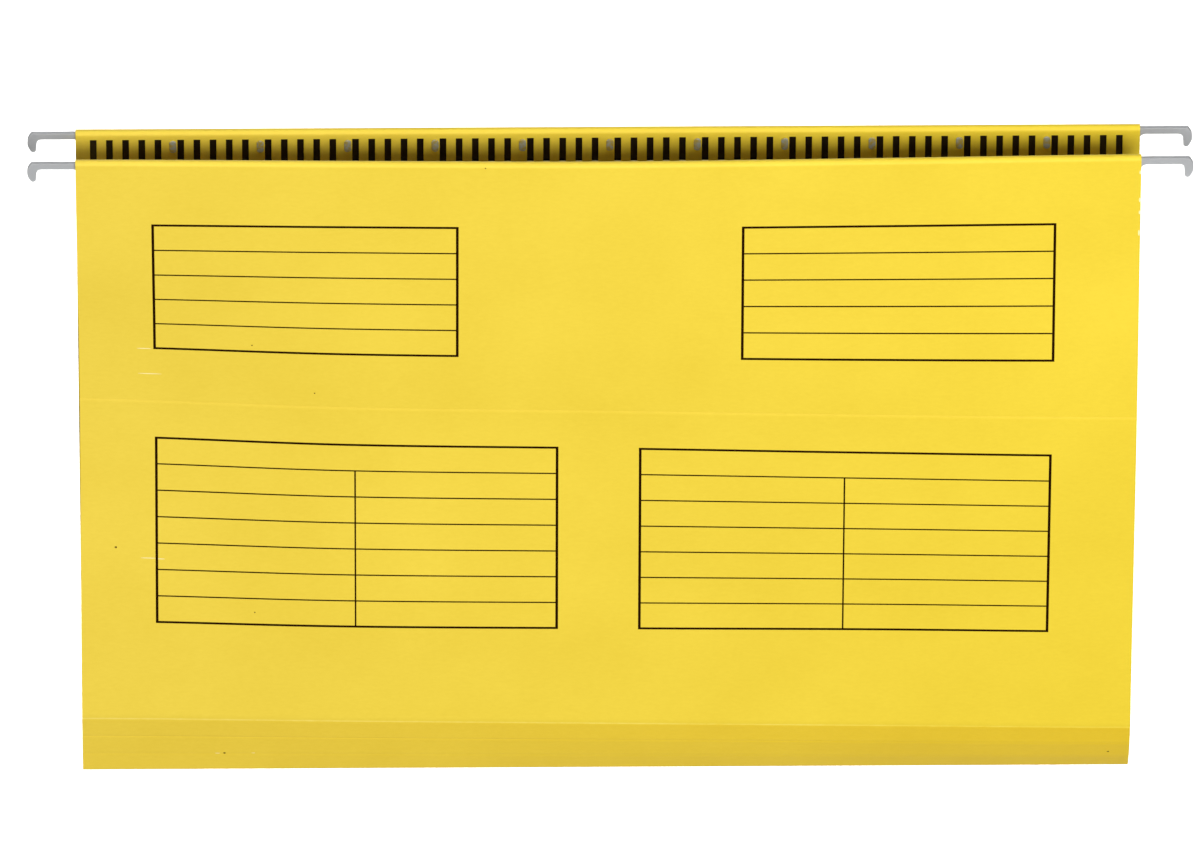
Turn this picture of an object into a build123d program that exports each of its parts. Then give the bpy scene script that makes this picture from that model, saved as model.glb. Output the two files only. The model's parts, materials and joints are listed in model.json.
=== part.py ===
from build123d import *
import os
from math import asin, cos, degrees, radians, sin

# A hanging file folder: one scored card sheet with a hem along each top edge,
# and a steel hanger bar in each hem whose hook ends wear moulded sleeves.
# X runs along the bars, the front leaf is on the -Y side and +Z is up.
# Z is zero on the undersides of the hook necks, where they rest on the rails.
# All lengths are in millimetres and all angles in degrees.

# Card sheet
card_width = 318.0
card_thickness = 0.4
leaf_height = 218.0
base_strip = 8.3
upper_strip_tilt = 14.0
crown_gap = 14.5

# Bend of the front leaf: its left edge sways in, its right edge out and its middle bows out.
# The shares go by even steps from the foot of the hem down to the score.
leaf_sway = 6.2
leaf_bow = 1.9
sway_shares = (0, 0.5, 0.9, 1, 0.8, 0.6, 0)
bow_shares = (0, 1, 0.85, 0.6, 0.55, 0.45, 0)

# Creases between the leaves of the sheet
crease_clearance = 0.12
fold_bead = 0.5
fold_clearance = 0.25

# Hems
hem_thickness = 2.7
hem_depth = 22.0
flap_straight = 14.6
flap_land = 5.0
glue_film = 0.15
glue_margin = 6.0

# Index slots punched in the hem flaps
slot_width = 2.0
slot_length = 9.0
slot_drop = 2.75
slot_pitch = 4.83
slots_in_group = 5
group_pitch = 26.11
slot_margin = 5.3

# Glue plugs that hold each bar to its flap
plug_width = 1.5
plug_height = 3.8
plug_hole_clearance = 0.05
plug_head_lap = 0.3
plug_head_rise = 0.5
plug_head_round = 0.25
plug_drop = 5.35
plug_to_slot = 2.35

# Hanger bars
bar_shift = 0.6
strip_inset = 1.0
strip_height = 12.5
strip_thickness = 0.8
strip_crown_clearance = 0.25

# Hook ends and their sleeves
hook_reach = 16.0
neck_height = 2.2
neck_crown_clearance = 0.45
flare_radius = 2.3
hook_drop = 7.0
hook_shoulder = 1.4
hook_belly_drop = 3.4
hook_heel_inset = 0.85
hook_heel_drop = 6.3
hook_toe_inset = 1.75
hook_leg_width = 2.8
hook_leg_taper = 0.2
hook_toe_rise = 0.65
throat_radius = 1.4
sleeve_wall = 0.2
sleeve_cheek = 1.6
sleeve_cheek_drop = 6.0

# One overrun serves all cuts
overrun = 2.0

# Heights and depths worked out from the sizes above
card_top = neck_height + neck_crown_clearance + card_thickness
fold_centre_z = card_top - hem_thickness / 2
flap_bottom_z = card_top - hem_depth
leaf_y = -(crown_gap + hem_thickness - card_thickness) / 2
bar_y = leaf_y + (hem_thickness - card_thickness) / 2
flap_y = leaf_y + hem_thickness - card_thickness
land_y = leaf_y + card_thickness + glue_film
flap_face_y = flap_y + card_thickness / 2
strip_top_z = card_top - card_thickness - strip_crown_clearance
strip_length = card_width - 2 * strip_inset
bar_length = strip_length + 2 * hook_reach
sleeve_thickness = strip_thickness + 2 * sleeve_wall
groove_radius = card_thickness / 2 + crease_clearance
fold_groove_radius = fold_bead + fold_clearance

# As many groups of slots as the flap has room for
group_span = (slots_in_group - 1) * slot_pitch
group_count = int((card_width - 2 * slot_margin - group_span) / group_pitch) + 1

# Crease lines of the front half as (y, z) points, from the leaf down to the bottom fold.
# The upper two strips tilt alike, and the lowest just enough to bring the bottom fold under the middle.
upper_reach = 2 * base_strip * sin(radians(upper_strip_tilt))
lower_strip_tilt = degrees(asin((-leaf_y - upper_reach) / base_strip))


def strip_end(start, tilt):
    """Point one base strip below start, leaning towards the middle."""
    angle = radians(tilt)
    return start + Vector(base_strip * sin(angle), -base_strip * cos(angle))


upper_score = Vector(leaf_y, card_top - leaf_height)
middle_score = strip_end(upper_score, upper_strip_tilt)
spare_score = strip_end(middle_score, upper_strip_tilt)
bottom_fold = strip_end(spare_score, lower_strip_tilt)


def card_run(upper, lower):
    """Section of flat card between two (y, z) points."""
    run = lower - upper
    middle = (upper + lower) / 2
    turn = Vector(1, 0).get_signed_angle(run, Vector(0, 0, 1))
    return Pos(middle.X, middle.Y) * Rot(Z=turn) * Rectangle(run.length, card_thickness)


def disc(centre, radius):
    """Round section about a crease line."""
    return Pos(centre.X, centre.Y) * Circle(radius)


def along_card(section):
    """Solid that carries a (y, z) section along the whole width of the card."""
    return extrude(Plane.YZ * section, amount=card_width / 2, both=True)


def back_panel():
    """Flat leaf, hollowed below to ride on the bead of the upper strip."""
    leaf = card_run(Vector(leaf_y, fold_centre_z), upper_score)
    return along_card(leaf - disc(upper_score, groove_radius)).mirror(Plane.XZ)


def leaf_section(z, sway, bow):
    """Level cut through the bent leaf, a shallow curve across its width."""
    side_x = card_width / 2
    faces = []
    for y in (leaf_y - card_thickness / 2, leaf_y + card_thickness / 2):
        faces.append([(-side_x, y + sway), (0, y - 2 * bow), (side_x, y - sway)])
    outer, inner = faces
    edges = [Bezier(*outer), Line(outer[-1], inner[-1]), Bezier(*inner), Line(inner[0], outer[0])]
    return Plane.XY.offset(z) * make_face(edges)


def front_panel():
    """Leaf that is flat in its hem and bent below it, hollowed at the straight score."""
    hem = card_run(Vector(leaf_y, fold_centre_z), Vector(leaf_y, flap_bottom_z))
    step = (flap_bottom_z - upper_score.Y) / (len(sway_shares) - 1)
    sections = [
        leaf_section(flap_bottom_z - n * step, leaf_sway * sway, leaf_bow * bow)
        for n, (sway, bow) in enumerate(zip(sway_shares, bow_shares))
    ]
    return along_card(hem) + loft(sections) - along_card(disc(upper_score, groove_radius))


def hem_fold():
    """Half-round crown where the sheet turns over the bar."""
    centre = Vector(bar_y, fold_centre_z)
    ring = disc(centre, hem_thickness / 2) - disc(centre, hem_thickness / 2 - card_thickness)
    below = Pos(centre.X, centre.Y - hem_thickness) * Rectangle(2 * hem_thickness, 2 * hem_thickness)
    return along_card(ring - below)


def slot_centres():
    """Places along X of all the index slots."""
    first = slot_margin - card_width / 2
    groups = range(group_count)
    return [first + g * group_pitch + s * slot_pitch for g in groups for s in range(slots_in_group)]


def plug_centres():
    """Places along X of the glue plugs, each just before the next group of slots."""
    first = slot_margin - card_width / 2 - plug_to_slot
    return [first + g * group_pitch for g in range(1, group_count)]


def oval(x, width, height, near_y, far_y):
    """Upright oval pin on the line of the glue plugs, between two depths."""
    section = Pos(x, card_top - plug_drop) * Rot(Z=90) * SlotOverall(height, width)
    return extrude(Plane.XZ.offset(-near_y) * section, amount=near_y - far_y)


def hem_flap():
    """Inner side of the hem: straight beside the bar, then pressed against the leaf and glued."""
    knee = Vector(flap_y, card_top - flap_straight)
    land_top = Vector(land_y, flap_bottom_z + flap_land)
    section = card_run(Vector(flap_y, fold_centre_z), knee) + card_run(knee, land_top)
    section += card_run(land_top, Vector(land_y, flap_bottom_z))
    section += disc(knee, card_thickness / 2)
    section += disc(land_top, card_thickness / 2)
    slot_z = card_top - slot_drop - slot_length / 2
    slot_cut = Box(slot_width, card_thickness + 2 * overrun, slot_length)
    slots = [Pos(x, flap_y, slot_z) * slot_cut for x in slot_centres()]
    hole_width = plug_width + 2 * plug_hole_clearance
    hole_height = plug_height + 2 * plug_hole_clearance
    holes = [
        oval(x, hole_width, hole_height, flap_y - overrun, flap_y + overrun)
        for x in plug_centres()
    ]
    return along_card(section) - slots - holes


def hem_glue():
    """Film of glue between the foot of the flap and the leaf."""
    height = flap_land - card_thickness
    middle = Pos(leaf_y + card_thickness / 2 + glue_film / 2, flap_bottom_z + height / 2)
    film = Plane.YZ * middle * Rectangle(glue_film, height)
    return extrude(film, amount=card_width / 2 - glue_margin, both=True)


def bar_plug(x):
    """Glue plug: a stem through the flap onto the bar, with a rounded oval head on the flap."""
    stem = oval(x, plug_width, plug_height, bar_y + strip_thickness / 2, flap_face_y)
    head_width = plug_width + 2 * plug_head_lap
    head_height = plug_height + 2 * plug_head_lap
    head = oval(x, head_width, head_height, flap_face_y, flap_face_y + plug_head_rise)
    rim = head.faces().sort_by(Axis.Y)[-1].edges()
    return stem + fillet(rim, plug_head_round)


def bar_plugs():
    """All the plugs of one hem."""
    return Compound([bar_plug(x).solid() for x in plug_centres()])


def base_upper():
    """Strip below the leaf: beaded on the upper score, hollowed at the middle score."""
    section = card_run(upper_score, middle_score) + disc(upper_score, card_thickness / 2)
    return along_card(section - disc(middle_score, groove_radius))


def base_middle():
    """Strip between the middle score, where it is beaded, and the spare score, where it is hollowed."""
    section = card_run(middle_score, spare_score) + disc(middle_score, card_thickness / 2)
    return along_card(section - disc(spare_score, groove_radius))


def lowest_strip():
    """Section of the lowest strip, beaded on the spare score."""
    return card_run(spare_score, bottom_fold) + disc(spare_score, card_thickness / 2)


def front_base_lower():
    """Lowest front strip, hollowed at the bottom fold."""
    return along_card(lowest_strip() - disc(bottom_fold, fold_groove_radius))


def back_base_lower():
    """Lowest back strip, which carries the bead of the bottom fold."""
    return along_card(lowest_strip() + disc(bottom_fold, fold_bead)).mirror(Plane.XZ)


def hook_outline():
    """Right-hand hook end as an (x, z) face about the middle of the bar."""
    end_x = bar_length / 2
    root_x = strip_length / 2
    leg_x = end_x - hook_leg_width
    toe_z = neck_height - hook_drop
    flare_mid = flare_radius * (1 - cos(radians(45)))
    cheek_x = root_x - sleeve_cheek
    shoulder = (end_x - hook_shoulder, neck_height)
    belly = (end_x, neck_height - hook_belly_drop)
    heel = (end_x - hook_heel_inset, neck_height - hook_heel_drop)
    toe = (end_x - hook_toe_inset, toe_z)
    toe_inside = (leg_x + hook_leg_taper, toe_z + hook_toe_rise)
    throat = (leg_x, -throat_radius)
    throat_mid = (leg_x - throat_radius * (1 - cos(radians(45))), -throat_radius * (1 - sin(radians(45))))
    throat_end = (leg_x - throat_radius, 0)
    flare = (root_x + flare_radius, 0)
    flare_middle = (root_x + flare_mid, -flare_mid)
    flare_end = (root_x, -flare_radius)
    edges = [
        ThreePointArc(shoulder, belly, heel),
        ThreePointArc(heel, toe, toe_inside),
        Line(toe_inside, throat),
        ThreePointArc(throat, throat_mid, throat_end),
        Line(throat_end, flare),
        ThreePointArc(flare, flare_middle, flare_end),
        Polyline(flare_end, (root_x, -sleeve_cheek_drop), (cheek_x, -sleeve_cheek_drop)),
        Polyline((cheek_x, -sleeve_cheek_drop), (cheek_x, neck_height), shoulder),
    ]
    return make_face(edges)


def bar_slab(section, thickness):
    """Solid of an (x, z) section, centred in the hem."""
    plane = Plane.XZ.offset(-bar_y)
    return extrude(plane * Pos(bar_shift, 0) * section, amount=thickness / 2, both=True)


def bar_section():
    """Steel blank: a tall strip whose ends narrow to hooks inside the sleeves."""
    core = offset(hook_outline(), amount=-sleeve_wall)
    middle_z = strip_top_z - strip_height / 2
    strip = Pos(0, middle_z) * Rectangle(strip_length - 2 * sleeve_wall, strip_height)
    return strip + core + mirror(core, about=Plane.YZ)


def bar():
    """Hanger bar, stamped in one piece."""
    return bar_slab(bar_section(), strip_thickness)


def sleeve(side):
    """Moulded sleeve over one hook end: side is 1 on the right and -1 on the left."""
    outline = hook_outline()
    if side < 0:
        outline = mirror(outline, about=Plane.YZ)
    return bar_slab(outline, sleeve_thickness) - bar()


def half():
    """Pieces that the front and back halves share, in their front places."""
    return {
        "hem_fold": hem_fold(),
        "hem_flap": hem_flap(),
        "hem_glue": hem_glue(),
        "bar_plugs": bar_plugs(),
        "base_upper": base_upper(),
        "base_middle": base_middle(),
        "bar": bar(),
        "left_sleeve": sleeve(-1),
        "right_sleeve": sleeve(1),
    }


def build():
    """Every piece under its own name."""
    pieces = {
        "front_panel": front_panel(),
        "back_panel": back_panel(),
        "front_base_lower": front_base_lower(),
        "back_base_lower": back_base_lower(),
    }
    for name, piece in half().items():
        pieces["front_" + name] = piece
        pieces["back_" + name] = piece.mirror(Plane.XZ)
    return pieces


os.makedirs("parts", exist_ok=True)
for name, piece in build().items():
    export_step(piece, "parts/" + name + ".step")

# Crease lines of the front half, for the joint axes
for name, line in {
    "upper score": upper_score,
    "middle score": middle_score,
    "bottom fold": bottom_fold,
}.items():
    print(name, "y", round(line.X, 4), "z", round(line.Y, 4))
print("lower strip tilt", round(lower_strip_tilt, 3))
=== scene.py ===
import json
from collections import namedtuple
from math import asin, cos, pi, radians, sin

import bpy
from bpy.props import FloatProperty, FloatVectorProperty, IntProperty, PointerProperty, StringProperty
from mathutils import Matrix, Vector


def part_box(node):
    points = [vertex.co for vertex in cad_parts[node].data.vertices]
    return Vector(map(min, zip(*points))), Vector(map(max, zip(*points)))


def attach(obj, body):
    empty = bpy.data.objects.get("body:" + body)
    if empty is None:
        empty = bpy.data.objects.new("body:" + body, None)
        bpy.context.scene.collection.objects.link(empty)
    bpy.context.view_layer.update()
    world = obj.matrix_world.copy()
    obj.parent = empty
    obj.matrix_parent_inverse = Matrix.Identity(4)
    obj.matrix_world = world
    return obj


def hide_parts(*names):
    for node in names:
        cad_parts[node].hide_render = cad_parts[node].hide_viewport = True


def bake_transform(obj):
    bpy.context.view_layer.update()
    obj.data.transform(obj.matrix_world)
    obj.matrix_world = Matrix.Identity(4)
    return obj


bl_info = {
    "name": "Hanging file folder",
    "version": (1, 0, 0),
    "blender": (4, 5, 0),
    "location": "View3D > Sidebar > Folder",
    "description": "Dresses the hanging file folder: swayed card leaves, ruled print, hooks and a studio",
    "category": "Object",
}

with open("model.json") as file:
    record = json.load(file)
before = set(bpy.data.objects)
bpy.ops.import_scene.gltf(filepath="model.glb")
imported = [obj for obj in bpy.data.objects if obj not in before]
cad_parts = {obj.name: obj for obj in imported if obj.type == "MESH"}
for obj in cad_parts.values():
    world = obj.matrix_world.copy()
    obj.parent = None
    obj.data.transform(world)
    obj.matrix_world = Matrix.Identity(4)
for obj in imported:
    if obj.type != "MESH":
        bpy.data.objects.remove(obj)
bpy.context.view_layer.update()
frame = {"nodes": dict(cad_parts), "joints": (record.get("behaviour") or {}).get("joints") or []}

MM = 0.001
HALVES = {"front": -1, "back": 1}
HEM_SLOTS = {
    "hem_fold": "card", "hem_flap": "card", "hem_glue": "hem_glue", "bar_plugs": "glue_plugs",
    "bar": "bar_steel", "left_sleeve": "sleeves", "right_sleeve": "sleeves",
}
HEM_FINISHES = {
    "hem_fold": "manila card", "hem_flap": "manila card", "hem_glue": "dried paste",
    "bar_plugs": "hot-melt glue", "bar": "lacquered steel", "left_sleeve": "moulded nylon",
    "right_sleeve": "moulded nylon",
}

# The finishes of a sheet of card, and where the cut edge and the painted highlight of the score stand in
# that list
CARD_FINISHES = ("manila card", "cut card edge", "painted score highlight")
CUT_EDGE, SCORE_HIGHLIGHT = 1, 2

# The ruled boxes, by their sides from the middle of the card
RuledBox = namedtuple("RuledBox", "name left right divider")
UPPER_BOXES = (
    RuledBox("print_upper_left", -136.2 * MM, -45.1 * MM, None),
    RuledBox("print_upper_right", 40.3 * MM, 133.5 * MM, None),
)
LOWER_BOXES = (
    RuledBox("print_lower_left", -136.0 * MM, -15.1 * MM, -75.9 * MM),
    RuledBox("print_lower_right", 9.9 * MM, 133.2 * MM, 71.4 * MM),
)

# Marks of use, by finish, body and then, in millimetres, the place from the middle of the card, the place
# down from its top edge or, on the base, from the middle score, the width and the height
SCUFF, NICK, SPECK, FLECK = 0.32, 0.55, 0.75, 0.45
WEAR_MARKS = {
    "leaf_scuffs": ("scuffed card", "front_half", (
        (-139.4, 74.2, 4.6, SCUFF), (-137.8, 84.3, 7.4, SCUFF), (-138.6, 155.7, 4.8, SCUFF),
        (-134.7, 155.9, 2.4, SCUFF), (158.7, 5.4, NICK, 1.5), (158.7, 15.6, NICK, 1.7),
        (158.7, 20.2, NICK, 1.4), (158.6, 27.7, NICK, 2.2),
    )),
    "leaf_specks": ("ground-in dirt", "front_half", (
        (-148.4, 151.9, SPECK, SPECK), (-36.7, 1.2, FLECK, FLECK), (-88.0, 89.7, FLECK, FLECK),
        (-106.8, 71.5, FLECK, FLECK), (-106.4, 175.3, FLECK, FLECK),
    )),
    "base_specks": ("ground-in dirt", "front_base", (
        (-115.9, 8.3, SPECK, SPECK), (152.6, 5.7, SPECK, SPECK),
    )),
    "base_scuffs": ("scuffed card", "front_base", (
        (-118.0, 8.4, 1.5, SCUFF), (-107.1, 8.2, 1.1, SCUFF),
    )),
}

# Sockets of a Mix node, several of which share a name
MIX_SHARE = 0
FLOAT_A, FLOAT_B, FLOAT_RESULT = 2, 3, 0
COLOUR_A, COLOUR_B, COLOUR_RESULT = 6, 7, 2

# Where the solids put the card: the hem fold, the score under each leaf and the fold at the very bottom
hem_low, hem_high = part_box("front_hem_fold")
leaf_low, leaf_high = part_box("front_panel")
CARD_WIDTH = leaf_high.x - leaf_low.x
CARD_TOP = hem_high.z


def joint_line(name):
    """The point of a crease in the frame, in metres."""
    found = [j for j in frame["joints"] if j["name"] == name]
    return Vector(found[0]["pos_m"])


FRONT_SCORE = joint_line("front_leaf_fold")
BOTTOM_FOLD = joint_line("bottom_fold")
LEAF_Y = FRONT_SCORE.y


class FolderCard(bpy.types.PropertyGroup):
    """Sizes and colours of the card."""

    colour: StringProperty(name="Card", description="Yellow manila card, sRGB", default="F1D449")
    deep_colour: StringProperty(
        name="Card, deep", description="The denser patches of the card, sRGB", default="EACC40")
    # Painted light: a warm cast of light on the card, growing towards its right edge
    painted_warm_light: StringProperty(
        name="Painted warm light", description="Painted warm light, growing towards the right edge, sRGB",
        default="FFFFC3")
    # Painted shade: a deeper, warmer tint on the base strips below the leaves' scores
    painted_shade_tint: StringProperty(
        name="Painted shade tint", description="Painted warm shade on the base strips, sRGB", default="FDF4BC")
    edge_colour: StringProperty(name="Cut edge", description="Raw edge of the card, sRGB", default="EBD98A")
    # Painted highlight: a paler line along the score under each leaf
    score_highlight_colour: StringProperty(
        name="Score highlight", description="Painted highlight along a score, sRGB", default="FAE67C")
    scuff_colour: StringProperty(
        name="Scuff", description="Card rubbed down to the pulp, sRGB", default="FFF0AC")
    dirt_colour: StringProperty(name="Dirt", description="Specks on the card, sRGB", default="6A4E16")
    thickness: FloatProperty(
        name="Thickness", description="Thickness of the card", default=0.4 * MM, unit="LENGTH")
    seam_top: FloatProperty(
        name="Hem line", description="Height at which the leaf runs on into the round of the hem",
        default=hem_low.z, unit="LENGTH")
    strip: FloatProperty(
        name="Base strip", description="Width of one scored strip of the base", default=8.75 * MM,
        unit="LENGTH")
    strip_tilt: FloatProperty(
        name="Upper strip tilt", description="Lean of the strip under the leaf", default=radians(14),
        subtype="ANGLE")
    middle_tilt: FloatProperty(
        name="Middle strip tilt", description="Lean of the strip below that one", default=radians(19),
        subtype="ANGLE")
    groove: FloatProperty(
        name="Score depth", description="How deep a score line is pressed", default=0.11 * MM, unit="LENGTH")
    groove_half: FloatProperty(
        name="Score half width", description="Half the width of a score line", default=0.5 * MM,
        unit="LENGTH")
    crease_drop: FloatProperty(
        name="Crease drop", description="Pressed crease, down from the top edge", default=95.0 * MM,
        unit="LENGTH")
    crease_groove: FloatProperty(
        name="Crease depth", description="How deep the crease across the leaf is pressed",
        default=0.14 * MM, unit="LENGTH")
    crease_half: FloatProperty(
        name="Crease half width", description="Half the width of the crease across the leaf",
        default=0.6 * MM, unit="LENGTH")
    bend_radius: FloatProperty(
        name="Bottom bend", description="Radius of the fold at the very bottom", default=0.25 * MM,
        unit="LENGTH")
    bend_reach: FloatProperty(
        name="Bend reach", description="Half the length of card that turns at a crease", default=1.6 * MM,
        unit="LENGTH")
    sway_left: FloatProperty(
        name="Sway at the left", description="Largest inward sway of the front leaf's left edge",
        default=6.2 * MM, unit="LENGTH")
    sway_right: FloatProperty(
        name="Sway at the right", description="Largest outward sway of its right edge", default=6.2 * MM,
        unit="LENGTH")
    draw: FloatProperty(
        name="Draw", description="How far the swayed left edge draws in towards the middle",
        default=0.4 * MM, unit="LENGTH")
    bow: FloatProperty(
        name="Bow", description="Largest outward bow of the leaf's middle", default=1.9 * MM, unit="LENGTH")
    belly: FloatProperty(
        name="Belly", description="Largest extra bulge of the leaf, a quarter of the way across",
        default=1.6 * MM, unit="LENGTH")
    columns: IntProperty(name="Columns", description="Faces across a leaf", default=48)
    rows: IntProperty(name="Rows", description="Faces down a leaf", default=44)


class FolderPrint(bpy.types.PropertyGroup):
    """Sizes and colours of the ruled boxes on the front leaf."""

    colour: StringProperty(name="Ink", description="Brown-black printing ink, sRGB", default="240F00")
    border: FloatProperty(
        name="Border", description="Width of a box's outer line", default=0.8 * MM, unit="LENGTH")
    line: FloatProperty(name="Line", description="Width of an inner line", default=0.48 * MM, unit="LENGTH")
    proud: FloatProperty(
        name="Film", description="How far the ink stands on the card", default=0.035 * MM, unit="LENGTH")
    upper_drop: FloatProperty(
        name="Upper boxes", description="Their top line, down from the top edge", default=24.26 * MM,
        unit="LENGTH")
    upper_row: FloatProperty(
        name="Upper row height", description="Row height of the upper boxes", default=9.94 * MM,
        unit="LENGTH")
    upper_rows: IntProperty(name="Upper rows", description="Rows in an upper box", default=5)
    lower_drop: FloatProperty(
        name="Lower boxes", description="Their top line, down from the top edge", default=109.7 * MM,
        unit="LENGTH")
    lower_row: FloatProperty(
        name="Lower row height", description="Row height of the lower boxes", default=10.05 * MM,
        unit="LENGTH")
    lower_rows: IntProperty(name="Lower rows", description="Rows in a lower box", default=7)


class FolderHardware(bpy.types.PropertyGroup):
    """Colours of the bars, their sleeves and the glue."""

    lacquer: StringProperty(name="Bar", description="Black lacquer on the steel bar, sRGB", default="160C06")
    nylon: StringProperty(name="Sleeves", description="Moulded grey nylon, sRGB", default="BABCBE")
    plugs: StringProperty(name="Plugs", description="Set hot-melt glue, sRGB", default="A3A596")
    thin_plugs: StringProperty(
        name="Plugs, thin", description="Glue where it is thin, sRGB", default="B09B48")
    paste: StringProperty(
        name="Paste", description="Dried paste under the hem flap, sRGB", default="D8CDA8")


class FolderStage(bpy.types.PropertyGroup):
    """Floor, light and camera."""

    floor_colour: StringProperty(name="Floor", description="Pale studio floor, sRGB", default="F8F8F7")
    floor_drop: FloatProperty(
        name="Floor drop", description="Floor, below the hook seats", default=1.6, unit="LENGTH")
    floor_size: FloatProperty(
        name="Floor size", description="Side of the floor", default=30.0, unit="LENGTH")
    daylight: FloatProperty(
        name="Daylight", description="Strength of the even white surround", default=0.12)
    key_power: FloatProperty(
        name="Key light", description="Large soft light in front, a little to the right", default=17.6,
        unit="POWER")
    fill_power: FloatProperty(
        name="Fill light", description="Weak soft light high on the left", default=0.3, unit="POWER")
    top_power: FloatProperty(
        name="Top light", description="Weak soft light overhead", default=4.2, unit="POWER")
    back_power: FloatProperty(
        name="Back light", description="Large soft light behind the folder", default=8.0, unit="POWER")
    floor_power: FloatProperty(
        name="Floor light", description="Soft light on the floor behind the folder", default=16.0,
        unit="POWER")
    light_aim: FloatVectorProperty(
        name="Light aim", description="Middle of the folder, where the lights are aimed",
        default=(0, 0, -117 * MM), subtype="XYZ", unit="LENGTH", precision=4)
    aim: FloatVectorProperty(
        name="Aim", description="Point that the camera looks at",
        default=(-2.02 * MM, 4.95 * MM, -111.52 * MM), subtype="XYZ", unit="LENGTH", precision=5)
    azimuth: FloatProperty(
        name="Azimuth", description="Camera turn to the right", default=radians(-0.848), subtype="ANGLE")
    elevation: FloatProperty(
        name="Elevation", description="Camera height angle", default=radians(39.144), subtype="ANGLE")
    roll: FloatProperty(name="Roll", description="Camera roll", default=radians(0.234), subtype="ANGLE")
    distance: FloatProperty(name="Distance", description="Camera to folder", default=7.8, unit="LENGTH")
    lens: FloatProperty(
        name="Lens", description="Focal length on a 36 mm frame, in millimetres", default=776.5)


def linear(hex_colour):
    """An sRGB hex colour as linear red, green, blue and alpha."""
    parts = [int(hex_colour[i:i + 2], 16) / 255 for i in (0, 2, 4)]
    return [c / 12.92 if c <= 0.04045 else ((c + 0.055) / 1.055) ** 2.4 for c in parts] + [1.0]


def add_node(tree, kind, settings=None, inputs=None, stops=()):
    """A node with its settings, its inputs set to values or linked to sockets, and its colour stops."""
    node = tree.nodes.new(kind)
    for key, value in (settings or {}).items():
        setattr(node, key, value)
    for key, value in (inputs or {}).items():
        if isinstance(value, bpy.types.NodeSocket):
            tree.links.new(value, node.inputs[key])
        else:
            node.inputs[key].default_value = value
    for number, (position, colour) in enumerate(stops):
        node.color_ramp.elements[number].position = position
        node.color_ramp.elements[number].color = linear(colour)
    return node


def new_material(name):
    """An empty material, its node tree and its shader."""
    material = bpy.data.materials.new(name)
    material.use_nodes = True
    tree = material.node_tree
    shader = tree.nodes["Principled BSDF"]
    return material, tree, shader


def card_stock(name, colour, deep_colour):
    """Calendered card in two tones, with painted warm light growing towards the right and painted shade
    where it lies on the base strips.
    """
    card = bpy.context.scene.folder_card
    material, tree, shader = new_material(name)
    cloud_size = 38 * MM
    fibre_size = 0.9 * MM  # real fibres are finer; this is as fine as the picture shows
    fibre_stretch = (0.45, 1.0, 1.0)
    fibre_share = 0.4
    deep_end, pale_end = 0.32, 0.68
    tooth_size = 0.5 * MM
    tooth_depth = 0.04 * MM
    place = add_node(tree, "ShaderNodeTexCoord").outputs["Object"]
    clouds = add_node(tree, "ShaderNodeTexNoise", inputs={
        "Vector": place, "Scale": 1 / cloud_size, "Detail": 3.0, "Roughness": 0.55})
    along = add_node(tree, "ShaderNodeMapping", inputs={"Vector": place, "Scale": fibre_stretch})
    fibres = add_node(tree, "ShaderNodeTexNoise", inputs={
        "Vector": along.outputs["Vector"], "Scale": 1 / fibre_size, "Detail": 2.0, "Roughness": 0.6})
    pulp = add_node(tree, "ShaderNodeMix", {"data_type": "FLOAT"}, {
        MIX_SHARE: fibre_share, FLOAT_A: clouds.outputs["Fac"], FLOAT_B: fibres.outputs["Fac"]})
    tones = add_node(
        tree, "ShaderNodeValToRGB", inputs={"Fac": pulp.outputs[FLOAT_RESULT]},
        stops=((deep_end, deep_colour), (pale_end, colour)))
    # Painted light: the card is warmed from nothing at its left edge to the full tint at its right
    across = add_node(tree, "ShaderNodeSeparateXYZ", inputs={"Vector": place})
    painted_share = add_node(tree, "ShaderNodeMapRange", inputs={
        "Value": across.outputs["X"], "From Min": -CARD_WIDTH / 2, "From Max": CARD_WIDTH / 2})
    tinted = add_node(tree, "ShaderNodeMix", {"data_type": "RGBA", "blend_type": "MULTIPLY"}, {
        MIX_SHARE: painted_share.outputs["Result"], COLOUR_A: tones.outputs["Color"],
        COLOUR_B: linear(card.painted_warm_light)})
    # Painted shade: the base strips take a deeper, warmer tint, most of it at the right
    painted_shade = add_node(tree, "ShaderNodeAttribute", {"attribute_name": "painted_shade"})
    deepened = add_node(tree, "ShaderNodeMix", {"data_type": "RGBA", "blend_type": "MULTIPLY"}, {
        MIX_SHARE: painted_shade.outputs["Fac"], COLOUR_A: tinted.outputs[COLOUR_RESULT],
        COLOUR_B: linear(card.painted_shade_tint)})
    tree.links.new(deepened.outputs[COLOUR_RESULT], shader.inputs["Base Color"])
    tooth = add_node(tree, "ShaderNodeTexNoise", inputs={
        "Vector": place, "Scale": 1 / tooth_size, "Detail": 2.0})
    bump = add_node(tree, "ShaderNodeBump", inputs={
        "Height": tooth.outputs["Fac"], "Strength": 0.12, "Distance": tooth_depth})
    tree.links.new(bump.outputs["Normal"], shader.inputs["Normal"])
    shader.inputs["Roughness"].default_value = 0.58
    shader.inputs["Specular IOR Level"].default_value = 0.3
    return material


def plain(name, colour, roughness, ior=1.5):
    """One even colour."""
    material, _, shader = new_material(name)
    shader.inputs["Base Color"].default_value = linear(colour)
    shader.inputs["Roughness"].default_value = roughness
    shader.inputs["IOR"].default_value = ior
    return material


def manila_card(name):
    # Rolled smooth, and dyed yellow: soft clouds of pulp, short fibres and a dull sheen
    card = bpy.context.scene.folder_card
    return card_stock(name, card.colour, card.deep_colour)


def painted_score_highlight(name):
    # A painted highlight along a pressed line: paler than the card beside it
    card = bpy.context.scene.folder_card
    return card_stock(name, card.score_highlight_colour, card.colour)


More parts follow.
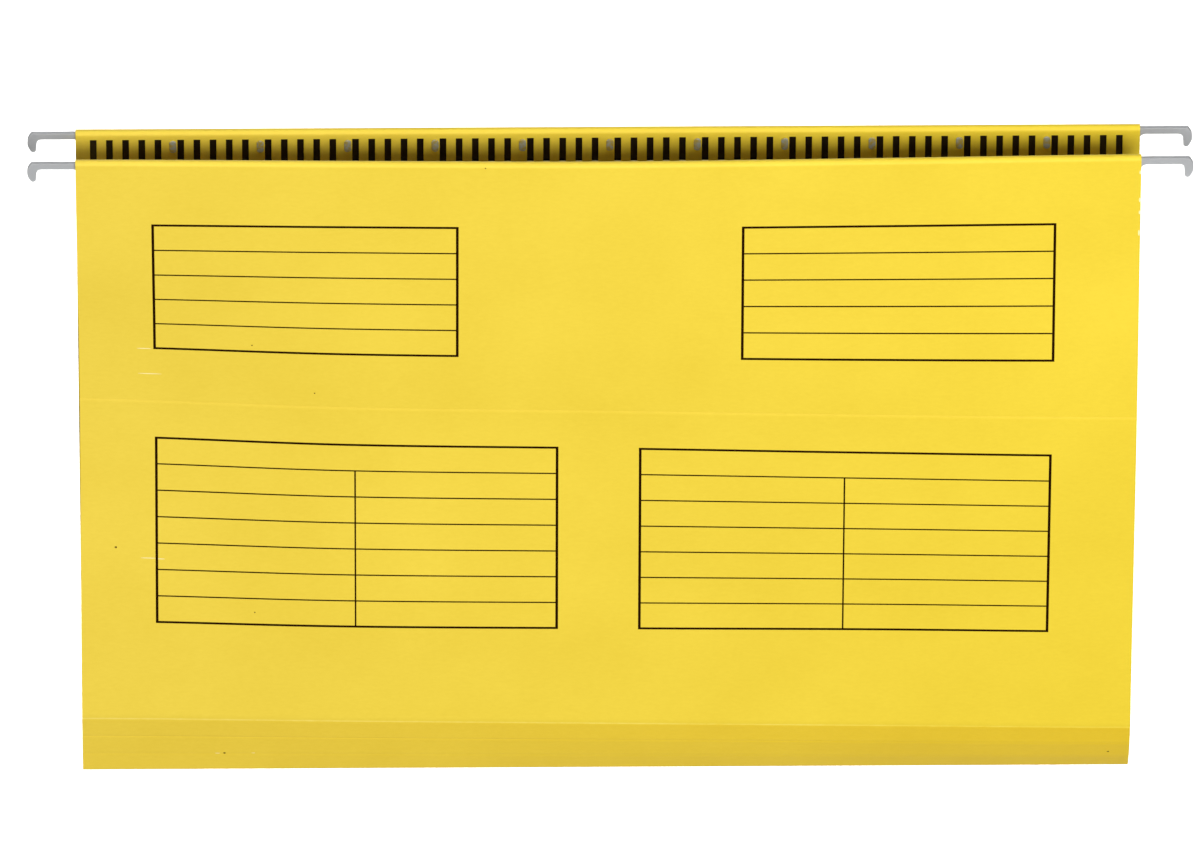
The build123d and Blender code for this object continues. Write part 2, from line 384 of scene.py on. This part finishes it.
def cut_card_edge(name):
    # Bare pulp where the sheet was cut: paler and fully matt
    return plain(name, bpy.context.scene.folder_card.edge_colour, roughness=0.9)


def scuffed_card(name):
    # The rolled skin rubbed off: pale and matt
    return plain(name, bpy.context.scene.folder_card.scuff_colour, roughness=0.85, ior=1.3)


def ground_in_dirt(name):
    # A speck rubbed into the card: dark and matt
    return plain(name, bpy.context.scene.folder_card.dirt_colour, roughness=0.9, ior=1.1)


def printing_ink(name):
    # Oil ink that has soaked in: brown-black, with hardly any gloss
    return plain(name, bpy.context.scene.folder_print.colour, roughness=0.8, ior=1.08)


def lacquered_steel(name):
    # Dipped in black lacquer: dark, with a soft gloss
    return plain(name, bpy.context.scene.folder_hardware.lacquer, roughness=0.4)


def moulded_nylon(name):
    # Grey nylon from a fine-eroded mould: a soft sheen, and light soaks into its thin walls
    material = plain(name, bpy.context.scene.folder_hardware.nylon, roughness=0.42, ior=1.53)
    tree = material.node_tree
    shader = tree.nodes["Principled BSDF"]
    grain_size = 0.4 * MM
    grain_depth = 0.05 * MM
    place = add_node(tree, "ShaderNodeTexCoord").outputs["Object"]
    grain = add_node(tree, "ShaderNodeTexNoise", inputs={
        "Vector": place, "Scale": 1 / grain_size, "Detail": 2.0})
    bump = add_node(tree, "ShaderNodeBump", inputs={
        "Height": grain.outputs["Fac"], "Strength": 0.15, "Distance": grain_depth})
    tree.links.new(bump.outputs["Normal"], shader.inputs["Normal"])
    shader.inputs["Subsurface Weight"].default_value = 0.5
    shader.inputs["Subsurface Radius"].default_value = (1, 1, 1)
    shader.inputs["Subsurface Scale"].default_value = 2 * MM
    return material


def hot_melt_glue(name):
    # Cooled drops: waxy, slightly glossy, with the card showing through in patches
    hardware = bpy.context.scene.folder_hardware
    material, tree, shader = new_material(name)
    patch_size = 1.4 * MM
    thin_end, thick_end = 0.4, 0.6
    place = add_node(tree, "ShaderNodeTexCoord").outputs["Object"]
    patches = add_node(tree, "ShaderNodeTexNoise", inputs={
        "Vector": place, "Scale": 1 / patch_size, "Detail": 2.0})
    tones = add_node(
        tree, "ShaderNodeValToRGB", inputs={"Fac": patches.outputs["Fac"]},
        stops=((thin_end, hardware.thin_plugs), (thick_end, hardware.plugs)))
    tree.links.new(tones.outputs["Color"], shader.inputs["Base Color"])
    shader.inputs["Roughness"].default_value = 0.38
    return material


def dried_paste(name):
    # A thin film of paste, set between two layers of card: pale and matt
    return plain(name, bpy.context.scene.folder_hardware.paste, roughness=0.8)


FINISHES = {
    "manila card": manila_card, "painted score highlight": painted_score_highlight, "cut card edge": cut_card_edge,
    "scuffed card": scuffed_card, "ground-in dirt": ground_in_dirt, "printing ink": printing_ink,
    "lacquered steel": lacquered_steel, "moulded nylon": moulded_nylon, "hot-melt glue": hot_melt_glue,
    "dried paste": dried_paste,
}


def finish(name):
    """The material of that name, made when it is first asked for."""
    return bpy.data.materials.get(name) or FINISHES[name](name)


def only(piece):
    """Selects that piece alone."""
    bpy.ops.object.select_all(action="DESELECT")
    bpy.context.view_layer.objects.active = piece
    piece.select_set(True)


def pick(piece, test):
    """In edit mode, selects the vertices whose place passes the test."""
    bpy.ops.object.mode_set(mode="EDIT")
    bpy.ops.mesh.select_mode(type="VERT")
    bpy.ops.mesh.select_all(action="DESELECT")
    bpy.ops.object.mode_set(mode="OBJECT")
    for vertex in piece.data.vertices:
        vertex.select = test(vertex.co)
    bpy.ops.object.mode_set(mode="EDIT")
    bpy.ops.mesh.select_mode(type="VERT")


def standing_grid(name, y, top, bottom, columns, rows):
    """A grid of faces as wide as the card, standing on its edge, facing the front."""
    bpy.ops.object.select_all(action="DESELECT")
    bpy.ops.mesh.primitive_grid_add(
        x_subdivisions=columns, y_subdivisions=rows, size=1,
        location=(0, y, (top + bottom) / 2), rotation=(pi / 2, 0, 0),
    )
    piece = bpy.context.object
    piece.name = name
    piece.data.name = name
    piece.scale = (CARD_WIDTH, top - bottom, 1)
    bpy.ops.object.transform_apply(location=True, rotation=True, scale=True)
    for surface in CARD_FINISHES:
        piece.data.materials.append(finish(surface))
    return piece


def open_sheet(name):
    """An empty piece, open in edit mode."""
    bpy.ops.object.select_all(action="DESELECT")
    piece = bpy.data.objects.new(name, bpy.data.meshes.new(name))
    bpy.context.scene.collection.objects.link(piece)
    only(piece)
    bpy.ops.object.mode_set(mode="EDIT")
    return piece


def extrude_on(step):
    """Draws the selected edge out by a step."""
    bpy.ops.mesh.extrude_region_move(TRANSFORM_OT_translate={"value": step})


def shift_inward(distance):
    """Moves what is selected along the depth of the folder."""
    bpy.ops.transform.translate(value=(0, distance, 0))


def cut_level(height):
    """Cuts the sheet that is open in edit mode across at a height, and leaves the cut selected."""
    bpy.ops.mesh.select_all(action="SELECT")
    bpy.ops.mesh.bisect(plane_co=(0, 0, height), plane_no=(0, 0, 1))


def pressed_line(height, half_width, inward):
    """Presses a groove across the sheet that is open in edit mode."""
    for offset in (2 * half_width, half_width, -half_width, -2 * half_width):
        cut_level(height + offset)
    cut_level(height)
    shift_inward(inward)


def paint_score_highlight(piece, low, high):
    """Gives the faces of the front between two heights the painted highlight of the score; the sheet is
    still thin.
    """
    for face in piece.data.polygons:
        if low < face.center.z < high and face.center.y < BOTTOM_FOLD.y:
            face.material_index = SCORE_HIGHLIGHT


# The front half's corners under the leaf, each as (y, z), and the lean of its lowest strip
BaseCorners = namedtuple("BaseCorners", "middle spare fold lean")


def base_corners(card):
    """Where the middle score, the spare score and the bottom fold lie."""
    upper_step, middle_step = [
        Vector((card.strip * sin(tilt), -card.strip * cos(tilt)))
        for tilt in (card.strip_tilt, card.middle_tilt)]
    middle = Vector((LEAF_Y, FRONT_SCORE.z)) + upper_step
    spare = middle + middle_step
    lean = asin((BOTTOM_FOLD.y - spare.x) / card.strip)
    fold = spare + Vector((card.strip * sin(lean), -card.strip * cos(lean)))
    return BaseCorners(middle, spare, fold, lean)


def sway_cage(card):
    """A cage of control points that bends what lies on the front leaf as the photographed one is bent."""
    sway_shares = (0.0, 0.26, 0.75, 1.0, 0.84, 0.63, 0.56)
    bow_shares = (1.16, 1.05, 1.0, 0.62, 0.58, 0.5, 0.1)
    draw_shares = (0.0, 0.45, 1.0, 1.0, 0.6, 0.25, 0.0)
    left_shares = (0.0, 0.19, 0.78, 1.0, 0.88, 0.69, 0.19)
    right_shares = (0.0, 0.0, 0.0, -0.12, -0.25, -0.38, -0.12)
    quarter_share = 0.56
    columns = 5
    bpy.ops.object.select_all(action="DESELECT")
    bpy.ops.object.add(type="LATTICE", location=(0, LEAF_Y, (CARD_TOP + FRONT_SCORE.z) / 2))
    cage = bpy.context.object
    cage.name = "sway_cage"
    cage.scale = (CARD_WIDTH, 1, CARD_TOP - FRONT_SCORE.z)
    lattice = cage.data
    lattice.points_u, lattice.points_v, lattice.points_w = columns, 1, len(sway_shares)
    lattice.interpolation_type_u = "KEY_CATMULL_ROM"
    lattice.interpolation_type_w = "KEY_CATMULL_ROM"
    # The shares run from the top down, and the cage counts its levels from the bottom up
    levels = list(zip(sway_shares, bow_shares, draw_shares, left_shares, right_shares))[::-1]
    for level, (sway, bow, draw, left_belly, right_belly) in enumerate(levels):
        left, middle, right = -card.sway_left * sway, card.bow * bow, card.sway_right * sway
        left_quarter = quarter_share * (left + middle) + card.belly * left_belly
        right_quarter = quarter_share * (middle + right) + card.belly * right_belly
        first = level * columns
        lattice.points[first].co_deform.x += card.draw * draw / CARD_WIDTH
        for column, out in enumerate((left, left_quarter, middle, right_quarter, right)):
            lattice.points[first + column].co_deform.y -= out
    return cage


def bend_with(piece, cage, group=""):
    """Bends a piece by the cage, for good."""
    only(piece)
    modifier = piece.modifiers.new("sway", "LATTICE")
    modifier.object = cage
    modifier.vertex_group = group
    bpy.ops.object.modifier_apply(modifier=modifier.name)


def sway_weights(piece, card):
    """A group that lets the sway die out from the leaf's score to the bottom fold, and spares the back."""
    kept_shares = (1.0, 0.89, 0.54, 0.0)
    corners = base_corners(card)
    levels = (FRONT_SCORE.z, corners.middle.y, corners.spare.y, corners.fold.y)
    group = piece.vertex_groups.new(name="sway")
    for vertex in piece.data.vertices:
        share = 1.0 if vertex.co.z > FRONT_SCORE.z else 0.0
        for high, low, above, below in zip(levels, levels[1:], kept_shares, kept_shares[1:]):
            if low <= vertex.co.z <= high:
                share = below + (above - below) * (vertex.co.z - low) / (high - low)
        if vertex.co.y > BOTTOM_FOLD.y:
            share = 0.0
        group.add([vertex.index], share, "REPLACE")


def mark_painted_shade(piece, card):
    """Notes where the card lies below the leaf's score and gets the painted shade, most of it at the right.
    """
    left_share, right_share = 0.3, 1.0
    painted_share = piece.data.attributes.new("painted_shade", "FLOAT", "POINT")
    for vertex in piece.data.vertices:
        way_across = vertex.co.x / CARD_WIDTH + 1 / 2
        share = left_share + (right_share - left_share) * way_across
        painted_share.data[vertex.index].value = share if vertex.co.z < FRONT_SCORE.z - card.groove else 0.0


def thicken(piece, card):
    """Gives a bent sheet its thickness, and its rim the cut edge's finish."""
    crisp_angle = radians(40)
    only(piece)
    modifier = piece.modifiers.new("card", "SOLIDIFY")
    modifier.thickness = card.thickness
    modifier.offset = 0
    modifier.material_offset_rim = CUT_EDGE
    bpy.ops.object.modifier_apply(modifier=modifier.name)
    bpy.ops.object.shade_smooth_by_angle(angle=crisp_angle)


class FOLDER_OT_leaf_cards(bpy.types.Operator):
    """Makes the two leaves, each with its pressed crease and the strip under its score"""

    bl_idname = "folder.leaf_cards"
    bl_label = "Leaves"

    def execute(self, context):
        card = context.scene.folder_card
        middle = base_corners(card).middle
        score = FRONT_SCORE.z
        cage = sway_cage(card)
        for half, side in HALVES.items():
            inward = -side * card.groove
            y = -side * LEAF_Y
            piece = standing_grid(half + "_leaf_card", y, card.seam_top, score, card.columns, card.rows)
            pick(piece, lambda co: co.z < score + card.groove_half)
            extrude_on((0, -side * middle.x - y, middle.y - score))
            for reach in (card.groove_half, card.bend_reach):
                cut_level(score + reach)
                cut_level(score - reach)
            cut_level(middle.y + card.groove_half)
            cut_level(middle.y + 2 * card.groove_half)
            pick(piece, lambda co: abs(co.z - score) < card.groove)
            shift_inward(inward)
            pressed_line(CARD_TOP - card.crease_drop, card.crease_half, -side * card.crease_groove)
            pick(piece, lambda co: co.z < middle.y + card.groove / 2)
            shift_inward(inward)
            bpy.ops.object.mode_set(mode="OBJECT")
            # The painted highlight along the score
            paint_score_highlight(piece, score - card.groove_half, score)
            if half == "front":
                sway_weights(piece, card)
                bend_with(piece, cage, "sway")
            mark_painted_shade(piece, card)
            thicken(piece, card)
            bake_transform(piece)
            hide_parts(half + "_panel", half + "_base_upper")
        bpy.data.objects.remove(cage)
        return {"FINISHED"}


class FOLDER_OT_base_card(bpy.types.Operator):
    """Makes the lower strips of the base, from score to score round the bottom fold"""

    bl_idname = "folder.base_card"
    bl_label = "Base"

    def execute(self, context):
        card = context.scene.folder_card
        middle, spare, fold, lean = base_corners(card)
        halfway = (middle + spare) / 2
        piece = standing_grid("base_card", middle.x, middle.y, spare.y, card.columns, 2)
        pick(piece, lambda co: co.z < spare.y + card.groove)
        shift_inward(spare.x - middle.x)
        pick(piece, lambda co: abs(co.z - halfway.y) < card.groove)
        shift_inward((spare.x - middle.x) / 2)
        pick(piece, lambda co: co.z < spare.y + card.groove)
        route = self.round_the_fold(card, spare, fold, lean)
        route += [Vector((-point.x, point.y)) for point in (*route[2::-1], halfway, middle)]
        for last, point in zip(route, route[1:]):
            extrude_on((0, point.x - last.x, point.y - last.y))
        for score, offsets in ((middle.y, (-1, -2)), (spare.y, (2, 1, -1, -2))):
            for offset in offsets:
                cut_level(score + offset * card.groove_half)
        for side in HALVES.values():
            for score in (middle.y, spare.y):
                pick(piece, lambda co: abs(co.z - score) < card.groove / 2 and co.y * side > 0)
                shift_inward(-side * card.groove)
        bpy.ops.object.mode_set(mode="OBJECT")
        cage = sway_cage(card)
        sway_weights(piece, card)
        bend_with(piece, cage, "sway")
        bpy.data.objects.remove(cage)
        mark_painted_shade(piece, card)
        thicken(piece, card)
        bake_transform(piece)
        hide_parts(*[h + "_base_" + n for h in HALVES for n in ("middle", "lower")])
        return {"FINISHED"}

    @staticmethod
    def round_the_fold(card, spare, fold, lean):
        """Points from the spare score down the lowest strip and round the bottom bend, each as (y, z)."""
        strip_shares = (0.5, 0.8)
        bend_steps = 3
        turn = pi / 2 - lean
        bend_z = fold.y + card.bend_radius / sin(lean)
        route = [spare.copy()]
        for share in strip_shares:
            route.append(spare.lerp(fold, share))
        for step in range(-bend_steps, bend_steps + 1):
            angle = turn * step / bend_steps
            bend = Vector((card.bend_radius * sin(angle), -card.bend_radius * cos(angle)))
            route.append(Vector((0, bend_z)) + bend)
        return route


def ruled_line(left, right, top, bottom, y):
    """Adds one printed line to the box that is open in edit mode, divided so that it can bend."""
    pitch = 5 * MM
    width, height = right - left, top - bottom
    middle = Vector(((left + right) / 2, y, (top + bottom) / 2))
    bpy.ops.mesh.primitive_grid_add(
        x_subdivisions=max(1, round(width / pitch)), y_subdivisions=max(1, round(height / pitch)),
        size=1, location=middle, rotation=(pi / 2, 0, 0),
    )
    bpy.ops.transform.resize(value=(width, 1, height), center_override=middle)


def ruled_box(box, top, row, rows, ink, y):
    """A printed box: a heavy border, light lines between its rows and a divider under the first row."""
    piece = open_sheet(box.name)
    left, right, bottom = box.left, box.right, top - rows * row
    half, fine = ink.border / 2, ink.line / 2
    for level in (top, bottom):
        ruled_line(left - half, right + half, level + half, level - half, y)
    for side in (left, right):
        ruled_line(side - half, side + half, top - half, bottom + half, y)
    for n in range(1, rows):
        level = top - n * row
        ruled_line(left + half, right - half, level + fine, level - fine, y)
        if box.divider is not None:
            end = fine if n < rows - 1 else half
            ruled_line(box.divider - fine, box.divider + fine, level - fine, level - row + end, y)
    bpy.ops.object.mode_set(mode="OBJECT")
    piece.data.materials.append(finish("printing ink"))
    return piece


def print_plane(context):
    """How far forward the ink and the marks of use lie on the flat front leaf."""
    return LEAF_Y - context.scene.folder_card.thickness / 2 - context.scene.folder_print.proud


class FOLDER_OT_ruled_boxes(bpy.types.Operator):
    """Prints the four ruled boxes on the front leaf"""

    bl_idname = "folder.ruled_boxes"
    bl_label = "Ruled boxes"

    def execute(self, context):
        ink = context.scene.folder_print
        cage = sway_cage(context.scene.folder_card)
        for boxes, drop, row, rows in (
            (UPPER_BOXES, ink.upper_drop, ink.upper_row, ink.upper_rows),
            (LOWER_BOXES, ink.lower_drop, ink.lower_row, ink.lower_rows),
        ):
            for box in boxes:
                piece = ruled_box(box, CARD_TOP - drop, row, rows, ink, print_plane(context))
                bend_with(piece, cage)
                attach(piece, "front_half")
        bpy.data.objects.remove(cage)
        return {"FINISHED"}


def mark(place, width, height, tilt):
    """Adds a flat oval mark to the piece that is open in edit mode."""
    corners = 10
    bpy.ops.mesh.primitive_circle_add(
        vertices=corners, radius=1 / 2, fill_type="NGON", location=place, rotation=(pi / 2 + tilt, 0, 0))
    bpy.ops.transform.resize(value=(width, height, height), center_override=place)


class FOLDER_OT_wear(bpy.types.Operator):
    """Leaves the scuffs and specks of use on the front of the card"""

    bl_idname = "folder.wear"
    bl_label = "Wear"

    def execute(self, context):
        card, ink = context.scene.folder_card, context.scene.folder_print
        corners = base_corners(card)
        step = (corners.spare - corners.middle).normalized()
        out = Vector((step.y, -step.x)) * (card.thickness / 2 + ink.proud)
        y = print_plane(context)
        cage = sway_cage(card)
        for name, (surface, body, marks) in WEAR_MARKS.items():
            piece = open_sheet(name)
            for x, down, width, height in marks:
                if body == "front_half":
                    place = Vector((x * MM, y, CARD_TOP - down * MM))
                    tilt = 0.0
                else:
                    spot = corners.middle + step * down * MM + out
                    place = Vector((x * MM, spot.x, spot.y))
                    tilt = card.middle_tilt
                mark(place, width * MM, height * MM, tilt)
            bpy.ops.object.mode_set(mode="OBJECT")
            sway_weights(piece, card)
            bend_with(piece, cage, "sway")
            piece.data.materials.append(finish(surface))
            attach(piece, body)
        bpy.data.objects.remove(cage)
        return {"FINISHED"}


def is_hem_end(normal):
    """Whether a face of the hem's crown lies in one of its two cut ends."""
    least_along = 0.9
    return abs(normal.x) > least_along


def is_flap_cut(normal):
    """Whether a face of the hem's flap lies in a cut, at its rim or in a slot."""
    most_outward = 0.2
    return abs(normal.y) < most_outward


CUT_TESTS = {"hem_fold": is_hem_end, "hem_flap": is_flap_cut}


def coat(solid, surface, is_cut=None):
    """Gives a solid its finish, and its cut edges theirs."""
    mesh = solid.data
    mesh.materials.clear()
    mesh.materials.append(finish(surface))
    if is_cut:
        mesh.materials.append(finish("cut card edge"))
        for face in mesh.polygons:
            face.material_index = CUT_EDGE if is_cut(face.normal) else 0


class FOLDER_OT_hems_and_bars(bpy.types.Operator):
    """Finishes the hems, the bars with their sleeves and the glue, as the solids shape them"""

    bl_idname = "folder.hems_and_bars"
    bl_label = "Hems and bars"

    def execute(self, context):
        for half in HALVES:
            for part, slot in HEM_SLOTS.items():
                solid = frame["nodes"][half + "_" + part]
                coat(solid, HEM_FINISHES[part], CUT_TESTS.get(part))
        return {"FINISHED"}


class FOLDER_OT_front_hem(bpy.types.Operator):
    """Bows the front hem, with the bar, the sleeves and the glue in it, along with the leaf"""

    bl_idname = "folder.front_hem"
    bl_label = "Front hem"

    def execute(self, context):
        pitch = 10 * MM
        merge_reach = 0.001 * MM
        crisp_angle = radians(30)
        cuts = int(CARD_WIDTH / 2 / pitch)
        cage = sway_cage(context.scene.folder_card)
        for part, slot in HEM_SLOTS.items():
            node = "front_" + part
            piece = bpy.data.objects.new("bowed_" + part, frame["nodes"][node].data.copy())
            piece.data.name = piece.name
            context.scene.collection.objects.link(piece)
            only(piece)
            bpy.ops.mesh.customdata_custom_splitnormals_clear()
            bpy.ops.object.mode_set(mode="EDIT")
            bpy.ops.mesh.select_all(action="SELECT")
            bpy.ops.mesh.remove_doubles(threshold=merge_reach)
            for n in range(-cuts, cuts + 1):
                bpy.ops.mesh.select_all(action="SELECT")
                bpy.ops.mesh.bisect(plane_co=(n * pitch, 0, 0), plane_no=(1, 0, 0))
            bpy.ops.object.mode_set(mode="OBJECT")
            bend_with(piece, cage)
            bpy.ops.object.shade_smooth_by_angle(angle=crisp_angle)
            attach(piece, "front_half")
            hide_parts(node)
        bpy.data.objects.remove(cage)
        return {"FINISHED"}


def soft_light(name, place, target, width, height, power, spread):
    """A large rectangular light, aimed at a point."""
    lamp = bpy.data.lights.new(name, "AREA")
    lamp.shape = "RECTANGLE"
    lamp.size = width
    lamp.size_y = height
    lamp.energy = power
    lamp.spread = spread
    light = bpy.data.objects.new(name, lamp)
    light.location = place
    light.rotation_euler = (Vector(target) - Vector(place)).to_track_quat("-Z", "Y").to_euler()
    bpy.context.scene.collection.objects.link(light)


class FOLDER_OT_stage(bpy.types.Operator):
    """Lays the floor, hangs the lights and sets the camera"""

    bl_idname = "folder.stage"
    bl_label = "Stage"

    def execute(self, context):
        scene, stage = context.scene, context.scene.folder_stage
        self.lay_floor(stage)
        self.hang_lights(scene, stage)
        self.set_camera(scene, stage)
        scene.view_settings.view_transform = "Standard"
        return {"FINISHED"}

    @staticmethod
    def lay_floor(stage):
        """A pale floor, far below the folder."""
        bpy.ops.object.select_all(action="DESELECT")
        bpy.ops.mesh.primitive_plane_add(size=stage.floor_size, location=(0, 0, -stage.floor_drop))
        floor = bpy.context.object
        floor.name = "floor"
        # A painted studio floor: white and matt
        floor.data.materials.append(plain("matt white floor", stage.floor_colour, roughness=0.9))

    @staticmethod
    def hang_lights(scene, stage):
        """An even white surround and five soft lights, in metres."""
        world = bpy.data.worlds.new("studio")
        world.use_nodes = True
        surround = world.node_tree.nodes["Background"]
        surround.inputs["Color"].default_value = (1, 1, 1, 1)
        surround.inputs["Strength"].default_value = stage.daylight
        scene.world = world
        soft_light(
            "key_light", place=(0.42, -2.05, 0.5), target=stage.light_aim, width=1.5, height=1.4,
            power=stage.key_power, spread=radians(100))
        soft_light(
            "fill_light", place=(-0.4, -0.9, 1.6), target=stage.light_aim, width=1.4, height=1.4,
            power=stage.fill_power, spread=radians(100))
        soft_light(
            "top_light", place=(0, -0.1, 1.7), target=stage.light_aim, width=1.2, height=0.6,
            power=stage.top_power, spread=radians(100))
        soft_light(
            "back_light", place=(-0.5, 2.0, -0.1), target=stage.light_aim, width=1.5, height=1.3,
            power=stage.back_power, spread=radians(80))
        soft_light(
            "floor_light", place=(0, 2.6, 0.2), target=(0, 1.9, -stage.floor_drop), width=1.6, height=1.2,
            power=stage.floor_power, spread=radians(70))

    @staticmethod
    def set_camera(scene, stage):
        """A far camera with a long lens, above the folder and in front of it."""
        lens = bpy.data.cameras.new("camera")
        lens.lens = stage.lens
        lens.clip_end = 100
        camera = bpy.data.objects.new("camera", lens)
        scene.collection.objects.link(camera)
        level = cos(stage.elevation)
        back = Vector((sin(stage.azimuth) * level, -cos(stage.azimuth) * level, sin(stage.elevation)))
        turn = (-back).to_track_quat("-Z", "Y").to_matrix() @ Matrix.Rotation(stage.roll, 3, "Z")
        camera.matrix_world = Matrix.Translation(Vector(stage.aim) + back * stage.distance) @ turn.to_4x4()
        scene.camera = camera


class FOLDER_PT_sidebar(bpy.types.Panel):
    """Lists the folder's sizes, colours and steps"""

    bl_idname = "FOLDER_PT_sidebar"
    bl_label = "Hanging file folder"
    bl_space_type = "VIEW_3D"
    bl_region_type = "UI"
    bl_category = "Folder"

    def draw(self, context):
        for title, group in GROUPS.items():
            box = self.layout.box()
            box.label(text=title)
            values = getattr(context.scene, group)
            for name in values.__annotations__:
                box.prop(values, name)
        for step in STEPS:
            self.layout.operator(step.bl_idname)


GROUPS = {
    "Card": "folder_card", "Print": "folder_print", "Hardware": "folder_hardware", "Stage": "folder_stage",
}
GROUP_TYPES = (FolderCard, FolderPrint, FolderHardware, FolderStage)
STEPS = (
    FOLDER_OT_leaf_cards, FOLDER_OT_base_card, FOLDER_OT_ruled_boxes, FOLDER_OT_wear,
    FOLDER_OT_hems_and_bars, FOLDER_OT_front_hem, FOLDER_OT_stage,
)


def register():
    for kind in GROUP_TYPES + STEPS + (FOLDER_PT_sidebar,):
        bpy.utils.register_class(kind)
    for group, kind in zip(GROUPS.values(), GROUP_TYPES):
        setattr(bpy.types.Scene, group, PointerProperty(type=kind))


def unregister():
    for group in GROUPS.values():
        delattr(bpy.types.Scene, group)
    for kind in reversed(GROUP_TYPES + STEPS + (FOLDER_PT_sidebar,)):
        bpy.utils.unregister_class(kind)


def main():
    register()
    bpy.ops.folder.leaf_cards()
    bpy.ops.folder.base_card()
    bpy.ops.folder.ruled_boxes()
    bpy.ops.folder.wear()
    bpy.ops.folder.hems_and_bars()
    bpy.ops.folder.front_hem()
    bpy.ops.folder.stage()


if __name__ == "__main__":
    main()
